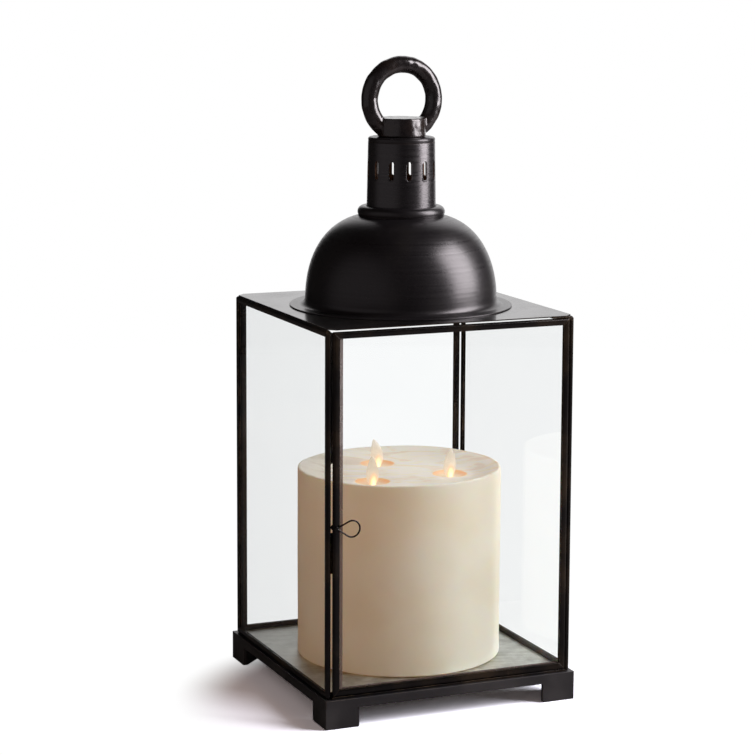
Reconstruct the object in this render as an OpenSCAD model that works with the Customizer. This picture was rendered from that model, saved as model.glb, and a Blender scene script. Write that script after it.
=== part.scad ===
// Hurricane lantern: a glazed metal box on four bent feet, with a hinged glass
// door, a domed chimney top with a slotted neck and a hanging eye, and a
// battery candle with three moving flames inside.
//
// Frame: millimetres, +Z up, -Y is the door side, +X is the hinge side. The
// origin is on the ground, under the middle of the base.

/* [Base] */
// Outside width and depth of the base frame
base_w = 200; // [170:1:260]
// Height of the base bars
base_bar_h = 7; // [5:0.5:14]
// Depth of the base bars, from the outer face inwards
base_bar_d = 14; // [11:0.5:24]
// Height of the feet below the bars
foot_h = 14.2; // [8:0.1:30]
// Length of a foot along each face of the base
foot_l = 26; // [18:1:40]
// Thickness of the sheet that the feet are bent from
foot_t = 2.5; // [1.5:0.1:4]
// Radius on the lower corner at each end of a foot's two faces
foot_round = 1.2; // [0.2:0.1:4]

/* [Glazed body] */
// How far the base stands out past the glazed body
base_ledge = 2; // [1:0.5:8]
// Height of the glazed body, from the base to the top plate
body_h = 268.8; // [230:0.1:340]
// Gap between a front or back pane's frame and the side panes
post_gap = 0.6; // [0.5:0.1:2]
// How far the side panes' edges stand back from the front and back faces
side_setback = 2.2; // [0.5:0.1:3]

/* [Cames] */
// Width of the came that frames each pane
came_w = 5; // [4.8:0.1:7]
// Thickness of the came over its round outer edge
came_t = 3.8; // [3.6:0.1:5]
// Thickness over the came's two lips
came_lip_t = 2.8; // [2.7:0.1:3.3]
// Depth of the groove, from the lips' edge
groove_d = 1.8; // [1.5:0.1:1.9]
// How far the top corners of the fixed frames are cut off
corner_clip = 3.2; // [0:0.1:5]

/* [Panes] */
// Thickness of the glass
glass_t = 1.8; // [1.2:0.1:2.2]
// Gap between the glass and each wall of the groove
glass_play = 0.05; // [0.05:0.01:0.2]
// Gap between the edge of the glass and the bottom of the groove
glass_edge_play = 0.3; // [0.2:0.1:0.8]

/* [Door] */
// Height of the sill under the door
sill_h = 1.6; // [1.4:0.1:5]
// How far the fronts of the sill and bracket stand back from the door's face
sill_inset = 0.5; // [0.3:0.05:0.8]
// Thickness of the bracket that holds the upper hinge pin
bracket_t = 0.8; // [0.6:0.1:3]
// Length of the bracket
bracket_l = 15; // [8:1:40]
// Height of the stop that the door closes against
stop_h = 3; // [2:0.1:6]
// Thickness of the stop
stop_t = 1.5; // [1:0.1:3]
// Running gap above, below and behind the door
door_gap = 0.3; // [0.25:0.05:0.8]
// Radius of the hinge pins
pin_r = 0.8; // [0.5:0.05:1]
// How far each hinge pin reaches into the door
pin_reach = 6; // [4:0.5:12]

/* [Latch] */
// Height of the latch above the bottom of the door
latch_rise = 124.4; // [60:0.1:180]
// Radius of the latch wire
wire_r = 0.6; // [0.4:0.05:0.8]
// Distance from the pivot to the middle of the finger loop
loop_reach = 12; // [10:0.5:16]
// Radius of the finger loop, to the middle of the wire
loop_r = 6; // [4:0.25:8]
// Angle that the loop droops from level
loop_droop = 5; // [0:1:15]
// Distance from the pivot to the edge of the door
latch_inset = 2; // [1.7:0.1:2.4]
// Length of the finger inside the door
finger_l = 7; // [5.5:0.5:9]
// Length of the keeper strip that the finger turns behind
keeper_l = 30; // [10:1:40]

/* [Top plate and dome] */
// Thickness of the top plate
plate_t = 0.8; // [0.6:0.1:2]
// How far the plate stands in from the body's faces
plate_inset = 1; // [0.5:0.1:1.6]
// How far the plate's corners are cut off
plate_clip = 6; // [3:0.5:10]
// Radius of the vent hole in the plate
vent_r = 60; // [30:1:66]
// Outside radius of the dome
dome_r = 72.2; // [66:0.1:78]
// Height of the dome above its cove
dome_rise = 64.3; // [50:0.1:80]
// Radius of the cove between the dome and its brim
cove_r = 5.1; // [3:0.1:8]
// Width of the flat brim past the cove
brim_w = 6.6; // [5:0.1:10]
// Thickness of the dome's sheet
sheet_t = 0.9; // [0.6:0.1:1.5]

/* [Neck] */
// Outside radius of the neck at its foot
neck_r = 26.1; // [24:0.1:28]
// Outside radius of the neck at its top
neck_top_r = 25.1; // [23:0.1:28]
// Height of the neck tube
neck_h = 54.45; // [44:0.05:80]
// Wall of the neck tube
neck_wall = 1.2; // [0.8:0.1:2]
// Number of slots round the neck
slot_count = 12; // [6:1:18]
// Turn of the ring of slots about the neck
slot_turn = 19.5; // [0:0.5:60]
// Width of a slot
slot_w = 3.5; // [2:0.1:5]
// Height of a slot, end to end
slot_h = 13.9; // [8:0.1:24]
// Distance from the top of the neck to the middle of the slots
slot_drop = 20.4; // [18:0.1:30]
// Radius of the bead's section round the foot of the neck
bead_r = 4.6; // [3.5:0.1:7]
// Height of the neck cap's rim
cap_h = 3.7; // [2.5:0.1:6]
// Depth of the cap's skirt inside the neck
skirt_h = 6; // [3:0.5:10]

/* [Hanging eye] */
// Radius of the eye, to the middle of its bar
eye_r = 26.05; // [22:0.05:34]
// Radius of the eye's bar
eye_bar_r = 6.3; // [4:0.1:8]
// Radius of the boss under the eye
boss_r = 18; // [12:0.5:22]
// Height of the boss
boss_h = 14.2; // [12:0.1:20]
// Height of the middle of the eye above the neck cap
eye_rise = 27.8; // [24:0.1:36]
// Radius of the stud that holds the eye
stud_r = 4; // [3:0.5:6]

/* [Candle] */
// Outside radius of the candle
candle_r = 77; // [60:0.5:80]
// Height of the candle, from its pads to its rim
candle_h = 145.6; // [110:0.1:160]
// Wall of the wax shell
wax_t = 6; // [4:0.5:10]
// Depth of the dished top below the rim
dish_d = 6.5; // [4:0.5:10]
// Thickness of the wax under the dish
dish_t = 6.5; // [5.5:0.5:10]
// Distance from the candle's axis to each flame
flame_ring_r = 38; // [30:1:44]
// Turn of the first flame about the candle's axis
flame_turn = 94; // [0:1:119]
// Width of a flame leaf
flame_w = 11.5; // [8:0.5:16]
// Height of a flame leaf above its well
flame_h = 22; // [14:0.5:30]
// Travel of the slide switch
switch_travel = 5; // [3:0.5:6]

/* [Hidden] */
$fn = 96;

// Colours
black = [0.12, 0.11, 0.11];
dark_bronze = [0.2, 0.16, 0.14];
zinc = [0.6, 0.61, 0.58];
clear = [0.85, 0.9, 0.92, 0.35];
ivory = [0.86, 0.82, 0.74];

// Running fit of a pin or a wire in its hole
fit = 0.05;
// Gap where one still piece drops into another
seat = 0.03;
// Reach of a cutting solid past the face that it cuts
past = 1;

// Levels
base_top = foot_h + base_bar_h;
body_top = base_top + body_h;
door_z0 = base_top + sill_h + door_gap;
door_z1 = body_top - bracket_t - door_gap;
door_h = door_z1 - door_z0;
plate_top = body_top + plate_t;

// Plan of the glazed body
body_w = base_w - 2 * base_ledge;
pane_mid = body_w / 2 - came_t / 2;
side_in = body_w / 2 - came_t;
face_half = side_in - post_gap;
side_half = body_w / 2 - side_setback;
frame_reach = came_t + door_gap + stop_t;

// Hinge and latch axes
hinge_x = face_half - came_t / 2;
hinge_y = -pane_mid;
latch_x = -(face_half - latch_inset);
latch_z = door_z0 + latch_rise;
latch_washer_r = 2.4;
latch_washer_t = 0.4;
door_in_y = -side_in;
keeper_t = 0.8;
keeper_y = door_in_y + door_gap + latch_washer_t;
finger_y = keeper_y + keeper_t + door_gap + wire_r;
loop_y = -(body_w / 2 + door_gap + wire_r);

// Dome: r = dome_r cos(t)^(2/swell) and z = dome_rise sin(t), so it is fuller
// than a ball at the shoulder and flatter on top
swell = 3.2;
dome_z0 = plate_top + sheet_t + cove_r;
dome_steps = 22;
brim_r = dome_r + cove_r + brim_w;
crown_r = 28;
crown_hole_r = 20;
crown_t = acos(pow(crown_r / dome_r, swell / 2));
crown_z = dome_z0 + dome_rise * sin(crown_t);

// Neck and eye
neck_top = crown_z + neck_h;
cap_top = neck_top + cap_h;
eye_z = cap_top + eye_rise;
stud_hold = 11;
eye_stud_top = cap_top + stud_hold;

// Candle
pan_t = 1.2;
pan_top = base_top + pan_t;
pad_t = 1.5;
wax_z0 = pan_top + 1;
wax_top = pan_top + candle_h;
wax_in_r = candle_r - wax_t;
dish_z = wax_top - dish_d;
wax_ceiling = dish_z - dish_t;
well_d = 3;
well_ball_r = 30;
well_z = dish_z - well_d;
plug_z0 = pan_top + pad_t;
plug_t = 3;
plug_z1 = plug_z0 + plug_t;
pivot_z = wax_ceiling - 2;
shelf_t = 2.5;
shelf_z = wax_ceiling - 24.5;
board_t = 1.6;
board_z1 = shelf_z + board_t;
coil_h = 3.5;
leaf_t = 1;
stem_w = 5;
tail_z = board_z1 + coil_h + 3;
flame_wire_r = 0.4;
ear_gap = 3.4;
ear_t = 1.2;
cell_r = 12.75;
cell_l = 49;
cell_pitch = 27;
cell_z = plug_z1 + cell_r + 0.6;
bay_w = 60;
bay_d = 58;
bay_h = 2 * cell_r + 3;
bay_wall = 1.5;
switch_x = 46;

// ---------------------------------------------------------------- base

// One bar of the base, along the -Y face, mitred at both ends
module base_bar() {
    color(black) translate([0, 0, foot_h]) linear_extrude(base_bar_h) polygon([
        [-base_w / 2, -base_w / 2], [base_w / 2, -base_w / 2],
        [base_w / 2 - base_bar_d, -base_w / 2 + base_bar_d],
        [-base_w / 2 + base_bar_d, -base_w / 2 + base_bar_d]
    ]);
}

module base_rail_front() { base_bar(); }
module base_rail_right() { rotate([0, 0, 90]) base_bar(); }
module base_rail_back() { rotate([0, 0, 180]) base_bar(); }
module base_rail_left() { rotate([0, 0, 270]) base_bar(); }

// One foot at the -X -Y corner: a sheet bent round the corner and closed
// across the inside by a slanted web
module foot() {
    web = foot_t * sqrt(2);
    inner = foot_l - foot_t - web;
    color(black) translate([-base_w / 2, -base_w / 2, 0]) difference() {
        linear_extrude(foot_h) difference() {
            polygon([[0, 0], [foot_l, 0], [foot_l, foot_t], [foot_t, foot_l], [0, foot_l]]);
            polygon([[foot_t, foot_t], [inner + foot_t, foot_t], [foot_t, inner + foot_t]]);
        }
        translate([foot_l, 0, 0]) foot_rounder();
        translate([0, foot_l, 0]) rotate([0, 0, -90]) mirror([1, 0, 0]) foot_rounder();
    }
}

// What is cut away to round the lower corner of a face that ends at x = 0
module foot_rounder() {
    translate([-foot_round, foot_l, 0]) rotate([90, 0, 0]) linear_extrude(foot_l + past) difference() {
        translate([0, -past]) square([foot_round + past, foot_round + past]);
        translate([0, foot_round]) circle(foot_round, $fn = 48);
    }
}

module foot_front_left() { foot(); }
module foot_front_right() { rotate([0, 0, 90]) foot(); }
module foot_back_right() { rotate([0, 0, 180]) foot(); }
module foot_back_left() { rotate([0, 0, 270]) foot(); }

// Loose sheet floor that the candle stands on
module floor_pan() {
    pan_half = side_in - 0.2;
    pan_front = -body_w / 2 + frame_reach + 0.2;
    color(zinc) translate([-pan_half, pan_front, base_top])
        cube([2 * pan_half, pan_half - pan_front, pan_t]);
}

// ---------------------------------------------------------------- panes

// Section of the came: half-round outer edge at x = 0, then two bowed faces
// that run in to the lips of the groove, towards +X
module came_section() {
    groove_w = glass_t + 2 * glass_play;
    edge_r = came_t / 2;
    // Each face is an arc level with the round edge that falls by `fall` over `run`.
    run = came_w - edge_r;
    fall = (came_t - came_lip_t) / 2;
    bow_r = (run * run + fall * fall) / (2 * fall);
    difference() {
        union() {
            translate([edge_r, 0]) circle(edge_r, $fn = 48);
            intersection() {
                translate([edge_r, -came_t]) square([run, 2 * came_t]);
                translate([edge_r, bow_r - edge_r]) circle(bow_r, $fn = 240);
                translate([edge_r, edge_r - bow_r]) circle(bow_r, $fn = 240);
            }
        }
        translate([came_w - groove_d, -groove_w / 2]) square([groove_d + past, groove_w]);
    }
}

// A length of came along +Z, cut to 45 degrees at both ends, with its outer
// corner cut off by clip0 at the foot and by clip1 at the top
module came(length, clip0 = 0, clip1 = 0) {
    intersection() {
        translate([0, 0, -past]) linear_extrude(length + 2 * past) came_section();
        rotate([90, 0, 0]) linear_extrude(2 * came_t, center = true) polygon([
            [-past, clip0 + past], [clip0 / 2, clip0 / 2], [came_w + past, came_w + past],
            [came_w + past, length - came_w - past], [clip1 / 2, length - clip1 / 2],
            [-past, length - clip1 - past]
        ]);
    }
}

// One of the four cames round a pane that stands on z = 0 in the plane y = 0,
// with the two top corners of the frame cut off by clip
module pane_bar(side, half, height, clip = 0) {
    color(dark_bronze) {
        if (side == "left") translate([-half, 0, 0]) came(height, 0, clip);
        if (side == "right") mirror([1, 0, 0]) translate([-half, 0, 0]) came(height, 0, clip);
        if (side == "bottom") translate([-half, 0, 0]) mirror([0, 0, 1]) rotate([0, 90, 0]) came(2 * half);
        if (side == "top") translate([-half, 0, height]) rotate([0, 90, 0]) came(2 * half, clip, clip);
    }
}

// The glass of such a pane, standing in the bottom came's groove
module pane_glass(half, height) {
    rebate = came_w - groove_d;
    glass_half = half - rebate - glass_edge_play;
    color(clear) translate([-glass_half, -glass_t / 2, rebate])
        cube([2 * glass_half, glass_t, height - 2 * rebate - glass_edge_play]);
}

module at_left() { translate([-pane_mid, 0, base_top]) rotate([0, 0, 90]) children(); }
module at_right() { translate([pane_mid, 0, base_top]) rotate([0, 0, 90]) children(); }
module at_back() { translate([0, pane_mid, base_top]) children(); }
module at_door() { translate([0, -pane_mid, door_z0]) children(); }

module left_pane() { at_left() pane_glass(side_half, body_h); }
module left_came_top() { at_left() pane_bar("top", side_half, body_h, corner_clip); }
module left_came_bottom() { at_left() pane_bar("bottom", side_half, body_h); }
module left_came_front() { at_left() pane_bar("left", side_half, body_h, corner_clip); }
module left_came_back() { at_left() pane_bar("right", side_half, body_h, corner_clip); }

module right_pane() { at_right() pane_glass(side_half, body_h); }
module right_came_top() { at_right() pane_bar("top", side_half, body_h, corner_clip); }
module right_came_bottom() { at_right() pane_bar("bottom", side_half, body_h); }
module right_came_front() { at_right() pane_bar("left", side_half, body_h, corner_clip); }
module right_came_back() { at_right() pane_bar("right", side_half, body_h, corner_clip); }

module back_pane() { at_back() pane_glass(face_half, body_h); }
module back_came_top() { at_back() pane_bar("top", face_half, body_h, corner_clip); }
module back_came_bottom() { at_back() pane_bar("bottom", face_half, body_h); }
module back_came_left() { at_back() pane_bar("left", face_half, body_h, corner_clip); }
module back_came_right() { at_back() pane_bar("right", face_half, body_h, corner_clip); }

// ---------------------------------------------------------------- door frame

// Section of the sill: a flat strip with a stop along its back
module sill_section() {
    polygon([
        [sill_inset, 0], [frame_reach, 0], [frame_reach, sill_h + stop_h],
        [frame_reach - stop_t, sill_h + stop_h], [frame_reach - stop_t, sill_h], [sill_inset, sill_h]
    ]);
}

module door_sill() {
    half = side_in - 0.1;
    color(dark_bronze) difference() {
        translate([-half, -body_w / 2, base_top]) rotate([90, 0, 90]) linear_extrude(2 * half) sill_section();
        translate([hinge_x, hinge_y, base_top - past]) cylinder(h = sill_h + 2 * past, r = pin_r + seat);
    }
}

// Thin bracket under the top plate that holds the upper hinge pin
module hinge_bracket() {
    color(dark_bronze) difference() {
        translate([side_in - bracket_l, -body_w / 2 + sill_inset, body_top - bracket_t])
            cube([bracket_l, came_t + 1, bracket_t]);
        translate([hinge_x, hinge_y, body_top - bracket_t - past])
            cylinder(h = bracket_t + 2 * past, r = pin_r + seat);
    }
}

// Two pins on one axis, through the sill and the bracket into the door
module hinge_pins() {
    color(dark_bronze) {
        translate([hinge_x, hinge_y, base_top]) cylinder(h = door_z0 + pin_reach - base_top, r = pin_r);
        translate([hinge_x, hinge_y, door_z1 - pin_reach]) cylinder(h = body_top - door_z1 + pin_reach, r = pin_r);
    }
}

// Washer that carries the door on the lower pin
module hinge_washer() {
    color(dark_bronze) translate([hinge_x, hinge_y, base_top + sill_h]) difference() {
        cylinder(h = door_gap - fit, r = came_t / 2 - 0.2);
        translate([0, 0, -past]) cylinder(h = door_gap + 2 * past, r = pin_r + seat);
    }
}

// Strip on the front left came that the latch finger turns behind
module latch_keeper() {
    keeper_top = latch_z - latch_washer_r - 1.7;
    color(dark_bronze) translate([-side_in, keeper_y, keeper_top - keeper_l])
        cube([side_in + latch_x + 0.5, keeper_t, keeper_l]);
}

// ---------------------------------------------------------------- door

module hinge_bore(z0) {
    translate([hinge_x, hinge_y, z0]) cylinder(h = pin_reach + door_gap + past, r = pin_r + fit);
}

module hinge_bores() {
    hinge_bore(door_z0 - past);
    hinge_bore(door_z1 - pin_reach - door_gap);
}

module door_pane() { at_door() pane_glass(face_half, door_h); }

module door_rail_top() {
    difference() {
        at_door() pane_bar("top", face_half, door_h);
        hinge_bores();
    }
}

module door_rail_bottom() {
    difference() {
        at_door() pane_bar("bottom", face_half, door_h);
        hinge_bores();
    }
}

module door_stile_hinge() {
    difference() {
        at_door() pane_bar("right", face_half, door_h);
        hinge_bores();
    }
}

module door_stile_latch() {
    difference() {
        at_door() pane_bar("left", face_half, door_h);
        translate([latch_x, -body_w / 2 - past, latch_z]) rotate([-90, 0, 0])
            cylinder(h = came_t + 2 * past, r = wire_r + fit, $fn = 32);
    }
}

// ---------------------------------------------------------------- latch

// Wire pull: a drop-shaped finger loop in front of the door, a pivot through
// the stile, and a finger inside that turns down behind the keeper
module latch_loop() {
    tangent = acos(loop_r / loop_reach);
    straight = sqrt(loop_reach * loop_reach - loop_r * loop_r);
    // The bend is a hair thicker than the straight runs, so that they end inside it.
    thicker = 0.03;
    lap = 0.3;
    lap_angle = 3;
    // The two runs meet in a flat blob of solder round the pivot.
    blob_r = 2.2 * wire_r;
    blob_t = 2 * wire_r + 0.1;
    turn = 360 - 2 * tangent + 2 * lap_angle;
    color(black) translate([latch_x, 0, latch_z]) {
        translate([0, loop_y, 0]) rotate([0, loop_droop, 0]) {
            for (side = [-1, 1]) rotate([0, side * (90 - tangent) + 90, 0])
                cylinder(h = straight + lap, r = wire_r, $fn = 24);
            translate([loop_reach, 0, 0]) rotate([90, 0, 0]) rotate([0, 0, tangent - 180 - lap_angle])
                rotate_extrude(angle = turn, $fn = 96) translate([loop_r, 0]) circle(wire_r + thicker, $fn = 24);
            rotate([90, 0, 0]) cylinder(h = blob_t, r = blob_r, center = true, $fn = 40);
        }
        translate([0, loop_y, 0]) rotate([-90, 0, 0]) cylinder(h = finger_y - loop_y, r = wire_r, $fn = 32);
        translate([0, finger_y, 0]) {
            sphere(wire_r, $fn = 32);
            rotate([0, 90, 0]) cylinder(h = finger_l, r = wire_r, $fn = 32);
        }
    }
}

module latch_washer() {
    color(black) translate([latch_x, keeper_y - latch_washer_t - 0.1, latch_z]) rotate([-90, 0, 0])
        difference() {
            cylinder(h = latch_washer_t, r = latch_washer_r, $fn = 48);
            translate([0, 0, -past]) cylinder(h = latch_washer_t + 2 * past, r = wire_r + seat, $fn = 32);
        }
}

// ---------------------------------------------------------------- roof

module top_plate() {
    half = body_w / 2 - plate_inset;
    clip = plate_clip;
    color(black) translate([0, 0, body_top]) linear_extrude(plate_t) difference() {
        polygon([
            [-half, -half + clip], [-half + clip, -half], [half - clip, -half], [half, -half + clip],
            [half, half - clip], [half - clip, half], [-half + clip, half], [-half, half - clip]
        ]);
        circle(vent_r);
    }
}

// Points of the dome's curve for a sheet face that lies `inset` inside it
function dome_curve(inset, t0, t1) = [
    for (i = [0 : dome_steps]) let (t = t0 + (t1 - t0) * i / dome_steps)
        [(dome_r - inset) * pow(cos(t), 2 / swell), dome_z0 + (dome_rise - inset) * sin(t)]
];
function arc(cx, cz, r, a0, a1, n) = [
    for (i = [0 : n]) let (a = a0 + (a1 - a0) * i / n) [cx + r * cos(a), cz + r * sin(a)]
];
// Height of the dome's outer face at radius r
function dome_face(r) = dome_z0 + dome_rise * sqrt(1 - pow(r / dome_r, swell));

// Spun dome: flat brim, cove, swelling side and a flat crown with a round hole
module dome() {
    color(black) rotate_extrude($fn = 180) polygon(concat(
        [[brim_r, plate_top], [brim_r, plate_top + sheet_t]],
        arc(dome_r + cove_r, dome_z0, cove_r, 270, 190, 8),
        dome_curve(0, 0, crown_t),
        [[crown_hole_r, crown_z], [crown_hole_r, crown_z - sheet_t]],
        dome_curve(sheet_t, crown_t, 0),
        arc(dome_r + cove_r, dome_z0, cove_r + sheet_t, 190, 270, 8)
    ));
}

// Half-round bead that covers the joint of the dome and the neck
module dome_bead() {
    // How far the middle of the bead's round stands off the neck
    bead_set = 2.1;
    bore = neck_r + seat;
    mid_r = bore + bead_set;
    mid_z = crown_z + bead_r - 2.6;
    foot_angle = -28;
    foot_r = mid_r + bead_r * cos(foot_angle);
    color(black) rotate_extrude($fn = 180) polygon(concat(
        [[bore, crown_z + seat], [crown_r, crown_z + seat]],
        [for (i = [1 : 4]) let (r = crown_r + (foot_r - crown_r) * i / 4) [r, dome_face(r) + seat]],
        arc(mid_r, mid_z, bead_r, foot_angle, 90 + asin(bead_set / bead_r), 20)
    ));
}

// Tapered tube with a ring of round-ended slots
module neck() {
    color(black) difference() {
        rotate_extrude($fn = 180) polygon([
            [neck_r - neck_wall, crown_z], [neck_r, crown_z],
            [neck_top_r, neck_top], [neck_top_r - neck_wall, neck_top]
        ]);
        for (i = [0 : slot_count - 1]) rotate([0, 0, slot_turn + i * 360 / slot_count]) slot_cutter();
    }
}

module slot_cutter() {
    reach = neck_r + past;
    half = (slot_h - slot_w) / 2;
    start = neck_top_r - 3 * neck_wall;
    translate([start, 0, neck_top - slot_drop]) {
        translate([0, -slot_w / 2, -half]) cube([reach - start, slot_w, 2 * half]);
        for (z = [-half, half]) translate([0, 0, z]) rotate([0, 90, 0])
            cylinder(h = reach - start, r = slot_w / 2, $fn = 48);
    }
}

// Cap with a rounded rim and a skirt inside the neck
module neck_cap() {
    rim_round = 1.8;
    skirt_r = neck_top_r - neck_wall - seat;
    color(black) difference() {
        rotate_extrude($fn = 180) polygon(concat(
            [[0, neck_top], [skirt_r - 1.5, neck_top], [skirt_r - 1.5, neck_top - skirt_h],
                [skirt_r, neck_top - skirt_h], [skirt_r, neck_top], [neck_top_r, neck_top]],
            arc(neck_top_r - rim_round, cap_top - rim_round, rim_round, 0, 90, 6),
            [[0, cap_top]]
        ));
        translate([0, 0, neck_top - skirt_h]) cylinder(h = cap_h + skirt_h + past, r = stud_r + 0.2, $fn = 48);
    }
}

// Cast eye: a round bar ring on a round boss, tapped from below
module hanging_eye() {
    color(black) difference() {
        union() {
            translate([0, 0, eye_z]) rotate([90, 0, 0]) rotate_extrude($fn = 180)
                translate([eye_r, 0]) circle(eye_bar_r, $fn = 64);
            translate([0, 0, cap_top]) cylinder(h = boss_h, r = boss_r);
        }
        translate([-2 * eye_r, -2 * boss_r, cap_top - 3 * boss_r]) cube([4 * eye_r, 4 * boss_r, 3 * boss_r]);
        translate([0, 0, cap_top - past]) cylinder(h = stud_hold + 2 * past, r = stud_r + fit, $fn = 48);
    }
}

module eye_stud() {
    color(zinc) translate([0, 0, neck_top - 12]) cylinder(h = eye_stud_top - neck_top + 12, r = stud_r, $fn = 48);
}

module eye_washer() {
    color(zinc) translate([0, 0, neck_top - 1.6]) difference() {
        cylinder(h = 1.6, r = 2.3 * stud_r, $fn = 64);
        translate([0, 0, -past]) cylinder(h = 1.6 + 2 * past, r = stud_r + fit, $fn = 48);
    }
}

module eye_nut() {
    color(zinc) translate([0, 0, neck_top - 1.6 - 6.5]) difference() {
        cylinder(h = 6.5, r = 7.5 * stud_r / 4, $fn = 6);
        translate([0, 0, -past]) cylinder(h = 6.5 + 2 * past, r = stud_r + fit, $fn = 48);
    }
}

// ---------------------------------------------------------------- candle

// Places its children at each flame
module at_flame(i) {
    turn = flame_turn + 120 * i;
    translate([flame_ring_r * cos(turn), flame_ring_r * sin(turn), 0]) children();
}

// Wax shell: open below, dished on top, with a shallow well and a slot for
// each flame
module candle_wax() {
    lip = 2.5;
    color(ivory) difference() {
        rotate_extrude($fn = 180) polygon(concat(
            [[wax_in_r, wax_z0], [candle_r, wax_z0]],
            arc(candle_r - lip, wax_top - lip, lip, 0, 120, 6),
            [[candle_r - 9, dish_z + 1.2], [candle_r - 16, dish_z], [0, dish_z],
                [0, wax_ceiling], [wax_in_r, wax_ceiling]]
        ));
        for (i = [0 : 2]) at_flame(i) {
            translate([0, 0, well_z + well_ball_r]) sphere(well_ball_r, $fn = 96);
            translate([-stem_w / 2 - 1.6, -1.4, wax_ceiling - past]) cube([stem_w + 3.2, 2.8, dish_t + past]);
        }
    }
}

// Moulded base plug with the battery bay and the switch guide
module candle_base() {
    guide = 11;
    color("gainsboro") difference() {
        union() {
            translate([0, 0, plug_z0]) cylinder(h = plug_t, r = wax_in_r - 0.1);
            translate([-bay_w / 2, -bay_d / 2, plug_z0]) cube([bay_w, bay_d, plug_t + bay_h]);
            translate([switch_x - guide, -6, plug_z1]) cube([2 * guide, 12, 3.6]);
        }
        translate([-bay_w / 2 + bay_wall, -bay_d / 2 + bay_wall, plug_z0 - past])
            cube([bay_w - 2 * bay_wall, bay_d - 2 * bay_wall, plug_t + bay_h - bay_wall + past]);
        translate([switch_x - 3.3, -2.3, plug_z0 - past]) cube([6.6 + switch_travel, 4.6, plug_t + 2 * past]);
        translate([switch_x - 5.3, -3.8, plug_z1]) cube([10.6 + switch_travel, 7.6, 1.6]);
    }
}

// Frame on a hollow column: a round shelf and a pair of ears for each flame
module light_frame() {
    column_z = plug_z1 + bay_h;
    color("gainsboro") difference() {
        union() {
            translate([0, 0, column_z]) cylinder(h = shelf_z - column_z, r = 11);
            translate([0, 0, column_z]) cylinder(h = 2, r = 22);
            translate([0, 0, shelf_z - shelf_t]) cylinder(h = shelf_t, r = 52);
            for (i = [0 : 2]) at_flame(i) for (side = [0, 1]) mirror([0, side, 0])
                translate([-2.5, ear_gap, shelf_z]) cube([5, ear_t, pivot_z + 1.4 - shelf_z]);
        }
        translate([0, 0, column_z - past]) cylinder(h = shelf_z - column_z + 2 * past, r = 9);
        for (i = [0 : 2]) at_flame(i) translate([0, 0, pivot_z]) rotate([90, 0, 0])
            cylinder(h = 2 * (ear_gap + ear_t) + past, r = flame_wire_r + seat, center = true, $fn = 24);
    }
}

module circuit_board() {
    color("darkgreen") translate([0, 0, shelf_z]) difference() {
        cylinder(h = board_t, r = 50);
        translate([0, 0, -past]) cylinder(h = board_t + 2 * past, r = 9);
        for (i = [0 : 2]) at_flame(i) for (side = [0, 1]) mirror([0, side, 0])
            translate([-2.8, ear_gap - 0.3, -past]) cube([5.6, ear_t + 0.6, board_t + 2 * past]);
    }
}

// A lamp beside each flame, on two legs from the board
module leds() {
    led_r = 2.5;
    led_z0 = wax_ceiling - 10;
    color("ivory") for (i = [0 : 2]) at_flame(i) translate([9, 0, 0]) {
        translate([0, 0, led_z0]) cylinder(h = 6, r = led_r, $fn = 48);
        translate([0, 0, led_z0 + 6]) sphere(led_r, $fn = 48);
        for (side = [-1, 1]) translate([side * 1.27 - 0.25, -0.25, board_z1]) cube([0.5, 0.5, led_z0 - board_z1 + 0.5]);
    }
}

module drive_coils() {
    color("peru") for (i = [0 : 2]) at_flame(i) translate([0, 0, board_z1]) difference() {
        cylinder(h = coil_h, r = 3, $fn = 48);
        translate([0, 0, 0.8]) cylinder(h = coil_h, r = 1.2, $fn = 32);
    }
}

module pivot_wires() {
    color("silver") for (i = [0 : 2]) at_flame(i) translate([0, 0, pivot_z]) rotate([90, 0, 0])
        cylinder(h = 2 * (ear_gap + ear_t), r = flame_wire_r, center = true, $fn = 24);
}

module batteries() {
    color("dimgray") for (side = [-1, 1]) translate([0, side * cell_pitch / 2, cell_z]) rotate([0, side * 90, 0]) {
        translate([0, 0, -cell_l / 2]) cylinder(h = cell_l - 1.5, r = cell_r, $fn = 72);
        translate([0, 0, cell_l / 2 - 1.5]) cylinder(h = 1.5, r = 3.3, $fn = 48);
    }
}

module battery_cover() {
    play = bay_wall + 0.3;
    color("whitesmoke") translate([-bay_w / 2 + play, -bay_d / 2 + play, plug_z0])
        cube([bay_w - 2 * play, bay_d - 2 * play, plug_t - 0.6]);
}

// Spring strips at both ends of each battery, bowed towards the cell
module battery_contacts() {
    wall_x = bay_w / 2 - bay_wall;
    color("silver") for (end = [0, 1]) mirror([end, 0, 0]) for (side = [-1, 1])
        translate([wall_x, side * cell_pitch / 2 + 4, cell_z - 7]) rotate([90, 0, 0]) linear_extrude(8) polygon([
            [0, 0], [-0.4, 0], [-wall_x + cell_l / 2 + 0.5, 7], [-0.4, 14], [0, 14], [0, 13.4],
            [-wall_x + cell_l / 2 + 1, 7], [0, 0.6]
        ]);
}

module candle_pads() {
    color("gray") for (i = [0 : 2]) rotate([0, 0, 120 * i + 30]) translate([wax_in_r - 12, 0, pan_top])
        cylinder(h = pad_t, r = 5, $fn = 48);
}

// Outline of a flame leaf: half width at the fraction t of its height
function leaf_half(t) = flame_w / 2 * pow(sin(180 * pow(t, 0.6)), 0.8);

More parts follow.
